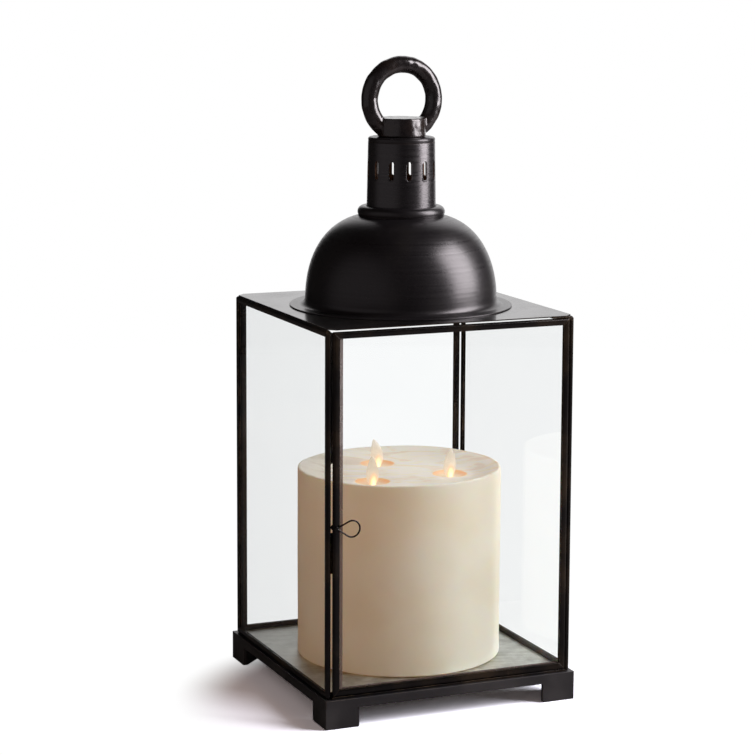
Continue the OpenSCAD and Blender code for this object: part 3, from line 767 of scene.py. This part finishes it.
def eye_solid(p):
    """Distance to the casting: a ring of round bar, joined to the boss by a 1.6 mm fillet."""
    x, y, z = p.T
    ring = np.hypot(np.hypot(x, z - ring_z) - ring_r, y) - bar_r
    half = (boss_top - cap_top) / 2
    dx = np.hypot(x, y) - boss_r + boss_round
    dz = np.abs(z - cap_top - half) - half + boss_round
    boss = np.hypot(np.maximum(dx, 0), np.maximum(dz, 0)) + np.minimum(np.maximum(dx, dz), 0)
    return smooth_min(boss - boss_round, ring, 1.6)


def lumps(p, size, seed):
    """Smooth random hills between -1 and 1: ten waves of about one size, which run in seeded
    directions, so that the surface never repeats."""
    waves = 10
    rng = np.random.default_rng(seed)
    way = rng.normal(size=(waves, 3))
    way /= np.linalg.norm(way, axis=1, keepdims=True)
    way *= rng.uniform(0.7, 1.5, (waves, 1)) * 2 * np.pi / size
    return np.sin(p @ way.T + rng.uniform(0, 6.28, waves)).sum(1) / 4.5


def eye_blank():
    """The plain ring and boss as two closed solids, joined into one skin by a fine remesh."""
    a = np.radians(np.linspace(-58.8, 238.8, 120))[:, None]
    b = around(40)
    r = ring_r + bar_r * np.cos(b)
    ring = points(r * np.cos(a), bar_r * np.sin(b), ring_z + r * np.sin(a))
    ends = np.repeat(ring[[0, -1]].mean(1, keepdims=True), len(b), 1)
    ring = np.concatenate([ends[:1], ring, ends[1:]])
    tap_r, tap_top, flat_r = 4.05, cap_top + 11, boss_r - boss_round
    boss = np.concatenate(
        [
            line(0, tap_top, tap_r, tap_top, 3),
            line(tap_r, cap_top, flat_r, cap_top, 4),
            arc(flat_r, cap_top + boss_round, boss_round, -80, 0, 5),
            arc(flat_r, boss_top - boss_round, boss_round, 0, 90, 6),
            line(15, boss_top, 0, boss_top, 4),
        ]
    )
    grids = [(ring, False, True), (turned(boss, 96), False, True)]
    ob = put_mesh("eye_blank", grids, [], "lantern")
    weld = ob.modifiers.new("weld", "REMESH")
    weld.mode = "VOXEL"
    weld.voxel_size = 0.55 * MM
    view = bpy.context.evaluated_depsgraph_get()
    mesh = bpy.data.meshes.new_from_object(ob.evaluated_get(view))
    bpy.data.objects.remove(ob)
    return mesh


def eye_casting():
    """Each point of the blank is moved onto eye_solid by Newton steps along its slope, and the
    casting's lumps are added in the same direction. The tapped hole and the seat stay."""
    mesh = eye_blank()
    mesh.name = "eye_casting"
    p = np.empty(len(mesh.vertices) * 3)
    mesh.vertices.foreach_get("co", p)
    p = p.reshape(-1, 3) / MM

    def slope(q):
        """Direction in which the distance grows fastest, from differences over 0.04 mm."""
        h = 0.02
        g = [eye_solid(q + step) - eye_solid(q - step) for step in np.eye(3) * h]
        g = np.stack(g, 1) / (2 * h)
        return g / np.maximum(np.linalg.norm(g, axis=1, keepdims=True), 1e-6)

    hole_r, hole_top, seat = 6.5, cap_top + 12.5, cap_top + 0.6
    skin = (np.hypot(p[:, 0], p[:, 1]) > hole_r) | (p[:, 2] > hole_top)
    skin &= p[:, 2] > seat
    q = p[skin]
    for _ in range(4):
        q = q - eye_solid(q)[:, None] * slope(q)
    rough = 0.15 * lumps(q, 9.0, 3) + 0.025 * lumps(q, 3.5, 5) + 0.008 * lumps(q, 1.5, 8)
    fade = np.clip(q[:, 2] - seat, 0, 1)
    q = q + (rough * fade)[:, None] * slope(q)
    q[:, 2] = np.minimum(q[:, 2], ring_z + ring_r + bar_r - 0.01)
    p[skin] = q
    p[~skin, 2] = np.maximum(p[~skin, 2], cap_top)
    mesh.vertices.foreach_set("co", (p * MM).ravel())
    mesh.update()
    return mesh


def cast_iron():
    """Painted sand casting: a pebbled skin, glossier on its high spots, over two close tones."""
    m, t = new_finish("cast_black")
    at = add(t, "TexCoord", out="Object")
    pebble = noise(t, at, 300.0, 4.0, Roughness=0.5)
    cells = add(t, "TexVoronoi", {"Vector": at, "Scale": 160.0}, feature="SMOOTH_F1")
    cloud = stretch(t, noise(t, at, 60.0, 4.0), 0.42, 0.68)
    height = plus(t, pebble, times(t, cells, 0.5))
    metal = add(
        t,
        "BsdfPrincipled",
        {
            "Base Color": mix(t, cloud, (0.016, 0.012, 0.013, 1), (0.030, 0.020, 0.018, 1)),
            "Roughness": stretch(t, pebble, 0.34, 0.66, 0.15, 0.26),
            "IOR": 1.9,
            "Specular Tint": (1.0, 0.91, 0.95, 1),
            "Normal": add(t, "Bump", {"Strength": 0.25, "Distance": 0.00008, "Height": height}),
        },
    )
    return close(m, metal)


put_piece(
    "eye_casting",
    eye_casting(),
    [cast_iron()],
    "lantern",
    ["hanging_eye"],
    sharp=70.0,
)

# ---------------------------------------------------------------- stud and nut
# The stud, washer and nut that draw the eye down on the cap are plain plated
# steel, dulled by the heat in the neck.

plated = zinc("plated_steel", pale=(0.42, 0.41, 0.38, 1), dark=(0.25, 0.24, 0.22, 1), rough=0.30)
dress(plated, "steel", "eye_stud", "eye_washer", "eye_nut")

# ---------------------------------------------------------------- solder
# The corners of the side frames are flooded with solder before the patina. One
# long run closes the slit behind the latch side of the door above the pull.


def blob(middle, half_sizes, seed):
    """A lump of solder: a ball of the given half sizes, its radius varied by smooth hills."""
    a, b = around(28), np.linspace(-np.pi / 2, np.pi / 2, 17)[:, None]
    way = points(np.cos(b) * np.cos(a), np.cos(b) * np.sin(a), np.sin(b))
    size = 1 + 0.13 * lumps(way.reshape(-1, 3) * 10, 13, seed).reshape(way.shape[:2])
    size[[0, -1]] = size[[0, -1]].mean(1, keepdims=True)
    return way * size[..., None] * half_sizes + middle


def run(x, y, low, high, wide, deep, seed):
    """A run of solder up a joint: an oval bar whose half widths swell and shrink by a tenth,
    rounded off at both ends."""
    k, a = np.linspace(0, 1, 150)[:, None], around(20)
    z = low + (high - low) * k
    here = points(np.cos(a), np.sin(a), z * 0.6)
    size = 1 + 0.10 * lumps(here.reshape(-1, 3), 9, seed).reshape(here.shape[:2])
    size = size * np.clip((1 - (2 * k - 1) ** 2) * 30, 0, 1) ** 0.5
    return points(x + wide * size * np.cos(a), y + deep * size * np.sin(a), z)


def corner_blobs(low_z, high_z):
    """Two lumps at each corner of the body, one near its foot and one near its top."""
    middles = [(x, y, z) for x in (-96.2, 96.2) for y in (-93.4, 93.4) for z in (low_z, high_z)]
    return [blob(middle, (1.75, 1.9, 2.1), 20 + i) for i, middle in enumerate(middles)]


def put_solder(name, grids):
    """One piece of solder under the cames' patina, fixed to the lantern."""
    grids = [(grid, False, True) for grid in grids]
    put_mesh(name, grids, [came_black], "lantern", sharp=60.0)


(_, post_y, post_foot), (post_x, _, post_top) = box_mm("left_came_front")
put_solder("corner_solder", corner_blobs(post_foot + 2.4, post_top - 3.0))
put_solder(
    "slit_solder",
    [run(post_x + 0.75, post_y + 3.3, post_foot + 172, post_top - 0.1, 1.25, 0.95, seed=4)],
)

# ---------------------------------------------------------------- glazing cement
# A smear of thin brown cement is left on the inside of the door's glass, along
# the latch stile and the bottom rail. Light comes through it.


def cement():
    """Thin dried film: mostly clear, with a brown body that thickens in clouds."""
    m, t = new_finish("cement_film")
    cloud = noise(t, add(t, "TexCoord", out="Object"), 90.0, 4.0)
    body = add(t, "BsdfDiffuse", {"Color": (0.23, 0.165, 0.15, 1)})
    clear = add(t, "BsdfTransparent", {"Color": (0.95, 0.90, 0.90, 1)})
    share = stretch(t, cloud, 0.3, 0.7, 0.42, 0.30)
    return close(m, add(t, "MixShader", {0: share, 1: body, 2: clear}))


film_thick = 0.08


def film(x0, z0, x1, z1, y):
    """A closed flat film on the glass between two corners. Its rows are the middle of the face
    against the glass, that face's outline, the outer face's outline and its middle."""
    x, z = np.array([x0, x1, x1, x0]), np.array([z0, z0, z1, z1])
    outline = points(x, y, z)
    middle = np.repeat(outline.mean(0, keepdims=True), 4, 0)
    out = (0, film_thick, 0)
    return np.array([middle, outline, outline + out, middle + out])


def door_films():
    """One film up the latch stile's lip and one along the bottom rail's lip."""
    (left, _, foot), (right, back, top) = box_mm("door_pane")
    edge, sill, wide, tall, face = left + 1.5, foot + 1.8, 3.1, 1.1, back + 0.02
    upright = film(edge, sill, edge + wide, top - 1.6, face)
    level = film(edge + wide, sill, right - 1.6, sill + tall, face)
    return [(grid, False, True) for grid in (upright, level)]


put_mesh("door_cement", door_films(), [cement()], "door")

# ---------------------------------------------------------------- candle wax
# A cast shell of ivory wax, open below. Its top has been melted to a shallow
# dish with a thin uneven rim, and a smooth well is let in for each flame. The
# lamps inside give no light here: their light on the wax is painted in as a
# warm glow in its finish.

(_, _, wax_foot), (wax_r, _, wax_top) = box_mm("candle_wax")
flames_out, flame_angles = 38.0, (94.0, 214.0, 334.0)


def flame_places():
    """Axis of each flame in millimetres, in the order back, left, right."""
    a = np.radians(flame_angles)
    return np.stack([flames_out * np.cos(a), flames_out * np.sin(a)], 1)


def wax_shell():
    """A profile turned round the axis. The rim's height wanders by a millimetre, the dish
    falls from it in a soft curve with slow ripples, and each well is the smooth minimum of the
    dish and a 30 mm ball."""
    columns = 300
    a = around(columns)
    dish_z, ceiling, inner_r = wax_top - 6.5, wax_top - 13, wax_r - 6
    foot_round, lip_round, corner = 1.2, 1.5, 2.0
    edge_r = wax_r - foot_round
    waves = 0.65 * np.cos(a + 1.2) + 0.25 * np.sin(3 * a - 1.1)
    waves += 0.14 * np.sin(7 * a + 2.0) + 0.07 * np.sin(13 * a)
    rim_z = np.minimum(wax_top - 0.80 + waves, wax_top)

    hollow = [
        line(0.0, ceiling, inner_r - corner, ceiling, 10),
        arc(inner_r - corner, ceiling - corner, corner, 90, 0, 6),
        line(inner_r, ceiling - 4, inner_r, wax_foot, 8),
        line(inner_r + 0.4, wax_foot, edge_r, wax_foot, 3),
        arc(edge_r, wax_foot + foot_round, foot_round, -75, 0, 6),
    ]
    side = turned(line(wax_r, wax_foot + 2.0, wax_r, wax_top - 4.2, 60), columns)
    up = side[:, :, 2]
    sag = 0.10 * np.sin(4 * a + up * 0.02) + 0.07 * np.sin(9 * a - up * 0.05) - 0.12
    side[:, :, :2] *= (1 + sag * np.clip((up - wax_foot) / 12, 0, 1) / wax_r)[..., None]

    profile = arc(wax_r - lip_round, 0, lip_round, 0, 140, 12)
    lip = turned(profile, columns)
    lip[:, :, 2] = rim_z - lip_round + profile[:, 1:]
    lip[:, :, :2] *= 1 - 0.12 / wax_r

    k = np.linspace(0, 1, 90)[1:, None]
    r = (wax_r - 2.65) * (1 - k)
    x, y = r * np.cos(a), r * np.sin(a)
    reach = 0.30 + 0.10 * np.cos(a - 0.7) + 0.05 * np.sin(3 * a + 0.5) + 0.03 * np.sin(5 * a)
    bank = np.sin(np.clip(k / reach, 0, 1) * np.pi / 2) ** 1.3
    slump = 0.30 * np.sin(2 * a + 1.0) * (1 - k)
    z = (rim_z - 0.54) * (1 - bank) + (dish_z + slump) * bank
    flat = points(x, y, 0.0).reshape(-1, 3)
    ripple = 0.30 * lumps(flat, 46, 11) + 0.14 * lumps(flat, 17, 12)
    z = z + ripple.reshape(x.shape) * bank * np.clip(r / 8, 0, 1)
    ball_r, ball_z, blend = 30.0, dish_z + 27.0, 0.8
    for fx, fy in flame_places():
        d2 = (x - fx) ** 2 + (y - fy) ** 2
        well = ball_z - np.sqrt(np.maximum(ball_r**2 - d2, 1))
        z = smooth_min(z, np.where(d2 < 800, well, 200), blend)
    return np.concatenate([turned(np.concatenate(hollow), columns), side, lip, points(x, y, z)])


def wax():
    """Ivory wax: soft mottling, light carried under the skin and beige swirls on the melted top.
    It also carries painted lamp light: apricot wells that glow, a warm glow over the whole
    skin that is stronger and paler on faces that look up, and more glow that falls off with
    distance from each lamp."""
    m, t = new_finish("ivory_wax")
    at = add(t, "TexCoord", out="Object")
    mottle = stretch(t, noise(t, at, 18.0, 5.0), 0.35, 0.65)
    swirl = noise(t, at, 45.0, 3.0, Distortion=1.2)
    colour = mix(t, mottle, (0.80, 0.805, 0.69, 1), (0.86, 0.88, 0.79, 1))
    # Painted lamp light, since the lamps give none here: near marks the apricot wells round each
    # lamp, and glow is a warm glow that falls off with distance from each lamp.
    near, glow, glow_z = None, None, 0.160
    for fx, fy in flame_places() * MM:
        gap = vector(t, "DISTANCE", at, (fx, fy, glow_z))
        well = calc(
            t,
            "MINIMUM",
            stretch(t, gap, 0.0126, 0.0142, 1.0, 0.0),
            stretch(t, gap, 0.0060, 0.0125, 0.5, 1.0),
        )
        soft = calc(t, "POWER", 2.718, times(t, times(t, gap, gap), -340.0))
        near = calc(t, "MAXIMUM", near, well) if near else well
        glow = plus(t, glow, soft) if glow else soft
    # top marks faces that look up. It places the melted swirls, and also painted light on the top.
    top = stretch(t, height_of(t, add(t, "NewGeometry", out="Normal")), 0.4, 0.95)
    wander = add(t, "Mapping", {"Vector": at, "Rotation": (0, 0, 0.6)})
    wander = vector(t, "MULTIPLY", wander, (22, 60, 30))
    curl = noise(t, wander, 1.0, 5.0, Distortion=1.6)
    curl = times(t, top, stretch(t, curl, 0.46, 0.60, 0.0, 0.85))
    colour = mix(t, curl, colour, (0.60, 0.56, 0.46, 1))
    # Painted lamp light: the wells' colour is tinted apricot.
    colour = mix(t, times(t, near, 0.80), colour, (0.86, 0.58, 0.36, 1))
    # Colour of the painted glow: orange in the wells and paler on faces that look up.
    warm = mix(t, near, (1.0, 0.53, 0.25, 1), (1.0, 0.42, 0.13, 1))
    paler = times(t, top, calc(t, "SUBTRACT", 0.75, times(t, near, 0.75)))
    warm = mix(t, paler, warm, (1.0, 0.93, 0.84, 1))
    # Strength of the painted glow: some over the whole wax, and more on faces that look up, in the
    # wells and round each lamp.
    painted_glow = plus(t, times(t, glow, 0.07), times(t, near, 0.12))
    painted_glow = plus(t, painted_glow, plus(t, 0.145, times(t, top, 0.14)))
    height = plus(t, times(t, noise(t, at, 520.0, 3.0), 0.2), swirl)
    body = add(
        t,
        "BsdfPrincipled",
        {
            "Base Color": colour,
            "Roughness": stretch(t, swirl, 0.35, 0.65, 0.42, 0.58),
            "IOR": 1.44,
            "Subsurface Weight": 0.5,
            "Subsurface Radius": (1.0, 0.5, 0.25),
            "Subsurface Scale": 0.016,
            "Emission Color": warm,
            "Emission Strength": painted_glow,
            "Normal": add(t, "Bump", {"Strength": 0.25, "Distance": 0.00025, "Height": height}),
        },
    )
    return close(m, body)


put_mesh(
    "wax_body", [(wax_shell(), False, True)], [wax()], "candle", ["candle_wax"], sharp=50.0
)

# ---------------------------------------------------------------- flames
# Each flame is a thin leaf of frosted plastic on a stem that rocks on a wire.
# The lamp beside it gives no light here: the yellow at its foot is painted
# light, a glow in the leaf's finish, and its tip stays pale.


def leaf_finish():
    """Frosted plastic, clearest at the tip and the edges. Painted lamp light: a yellow glow at
    its foot that turns orange at its edge, and a faint glow over the whole leaf."""
    m, t = new_finish("flame_frost")
    at = add(t, "TexCoord", out="Object")
    grain = noise(t, at, 260.0, 3.0)
    # Painted lamp light: a glow spot at each leaf's foot, a little to one side, stands in for the
    # lamp beside it.
    painted_glow, glow_spot_x, glow_spot_z = None, 0.0008, 0.1588
    for fx, fy in flame_places() * MM:
        off = vector(t, "SUBTRACT", at, (fx + glow_spot_x, fy, glow_spot_z))
        gap = vector(t, "LENGTH", vector(t, "MULTIPLY", off, (1.2, 0.4, 0.46)))
        one = stretch(t, gap, 0.0002, 0.0056, 1.0, 0.0)
        painted_glow = calc(t, "MAXIMUM", painted_glow, one) if painted_glow else one
    clouds = stretch(t, grain, 0.3, 0.7)
    # Colour of the painted glow: orange at its edge, yellow in its middle.
    glow_core = stretch(t, painted_glow, 0.25, 0.95)
    lit = mix(t, glow_core, (1.0, 0.45, 0.13, 1), (1.0, 0.72, 0.30, 1))
    # Strength of the painted glow: high at the foot, and a faint 0.22 over the whole leaf.
    power = times(t, calc(t, "POWER", painted_glow, 1.4), 1.35)
    body = add(
        t,
        "BsdfPrincipled",
        {
            "Base Color": mix(t, clouds, (0.84, 0.79, 0.70, 1), (0.92, 0.88, 0.80, 1)),
            "Roughness": stretch(t, grain, 0.3, 0.7, 0.32, 0.5),
            "Emission Color": mix(t, stretch(t, painted_glow, 0.0, 0.3), (1.0, 0.86, 0.68, 1), lit),
            "Emission Strength": plus(t, power, 0.22),
        },
    )
    through = add(t, "BsdfTranslucent", {"Color": (0.95, 0.88, 0.76, 1)})
    body = add(t, "MixShader", {0: 0.35, 1: body, 2: through})
    tip = stretch(t, height_of(t, at), 0.1650, 0.1800, 0.08, 0.46)
    edge = stretch(t, add(t, "LayerWeight", {"Blend": 0.5}, out="Facing"), 0.15, 0.85, 0.0, 0.95)
    cool = calc(t, "SUBTRACT", 1.0, times(t, painted_glow, 0.8))
    share = times(t, calc(t, "MAXIMUM", tip, edge), cool)
    clear = add(t, "BsdfTransparent", {"Color": (1, 1, 1, 1)})
    return close(m, add(t, "MixShader", {0: share, 1: body, 2: clear}))


stem_z, leaf_z, leaf_tall, leaf_half, stem_half = 142.0, 159.5, 21.0, 5.1, 2.5


def leaf(fx, fy, lean):
    """A flat stem and a leaf on it, 10.2 mm wide: half width 5.1 sin(180 t^0.62)^0.62 at the
    fraction t of its height, 1 mm thick in the middle and thin at its edge. Its tip leans
    sideways by lean."""
    up, t = np.linspace(0, 1, 13, endpoint=False), np.linspace(0.03, 1.0, 60)
    blade_z = leaf_z + leaf_tall * t
    blade = np.maximum(leaf_half * np.abs(np.sin(np.pi * t**0.62)) ** 0.62, 0.02)
    blade = np.where(blade_z < leaf_z + 1.5, np.maximum(blade, stem_half), blade)
    z = np.concatenate([stem_z + (leaf_z - 0.3 - stem_z) * up, blade_z])[:, None]
    half = np.concatenate([np.full(len(up), stem_half), blade])[:, None]
    b = around(28)
    sway = lean * np.clip((z - leaf_z - 1.5) / 19.5, 0, 1) ** 2
    thick = 0.5 * np.minimum(1, half / 2.0) * (1 - 0.35 * np.abs(np.cos(b)))
    grid = points(fx + half * np.cos(b) + sway, fy + thick * np.sin(b), z)
    ends = np.repeat(grid[[0, -1]].mean(1, keepdims=True), len(b), 1)
    return np.concatenate([ends[:1], grid, ends[1:]])


frost = leaf_finish()
leans = {"flame_back": -3.2, "flame_left": -0.6, "flame_right": 0.8}
for (name, lean), (fx, fy) in zip(leans.items(), flame_places()):
    grids = [(leaf(fx, fy, lean), False, True)]
    put_mesh(name + "_leaf", grids, [frost], name, [name])

# ---------------------------------------------------------------- candle works
# Moulded plug with its battery bay and cover, a frame that carries the board,
# lamps and coils, and the cells with their spring strips, all under the wax.


def moulded(name, colour, second, rough, grain, metal=0.0, scale=300.0):
    """Moulded or plated stock: two close tones, and a fine grain in the bump and the gloss."""
    m, t = new_finish(name)
    at = add(t, "TexCoord", out="Object")
    fine = noise(t, at, scale, 4.0)
    wide = stretch(t, noise(t, at, 40.0, 4.0), 0.35, 0.65)
    skin = add(
        t,
        "BsdfPrincipled",
        {
            "Base Color": mix(t, wide, (*colour, 1), (*second, 1)),
            "Metallic": metal,
            "Roughness": stretch(t, fine, 0.3, 0.7, rough, rough + 0.16),
            "Normal": add(t, "Bump", {"Strength": 0.35, "Distance": grain, "Height": fine}),
        },
    )
    return close(m, skin)


plastic = moulded("candle_plastic", (0.62, 0.60, 0.55), (0.68, 0.66, 0.61), 0.42, 0.0001)
bright = moulded("bright_steel", (0.55, 0.54, 0.52), (0.63, 0.62, 0.60), 0.22, 0.00003, metal=0.95)
board = moulded("board_green", (0.02, 0.11, 0.05), (0.03, 0.15, 0.07), 0.34, 0.00004)
lens = moulded("lamp_lens", (0.80, 0.74, 0.58), (0.86, 0.80, 0.66), 0.18, 0.00002)
copper = moulded(
    "copper_wire", (0.62, 0.26, 0.12), (0.70, 0.32, 0.16), 0.28, 0.00008, metal=0.9, scale=1400.0
)
wrap = moulded("cell_wrap", (0.03, 0.03, 0.035), (0.05, 0.05, 0.055), 0.30, 0.00003)
rubber = moulded("pad_rubber", (0.09, 0.09, 0.09), (0.13, 0.13, 0.125), 0.62, 0.00012)
switch = moulded("switch_black", (0.02, 0.02, 0.02), (0.03, 0.03, 0.03), 0.40, 0.00008)
dress(plastic, "candle_plastic", "candle_base", "battery_cover", "light_frame")
dress(bright, "steel", "pivot_wires", "battery_contacts")
dress(board, "board", "circuit_board")
dress(lens, "led", "leds")
dress(copper, "coil_wire", "drive_coils")
dress(wrap, "cell_jacket", "batteries")
dress(rubber, "pad_rubber", "candle_pads")
dress(switch, "switch_plastic", "switch_slider")

# ---------------------------------------------------------------- view
# Plain view settings.

bpy.context.scene.view_settings.view_transform = "Standard"
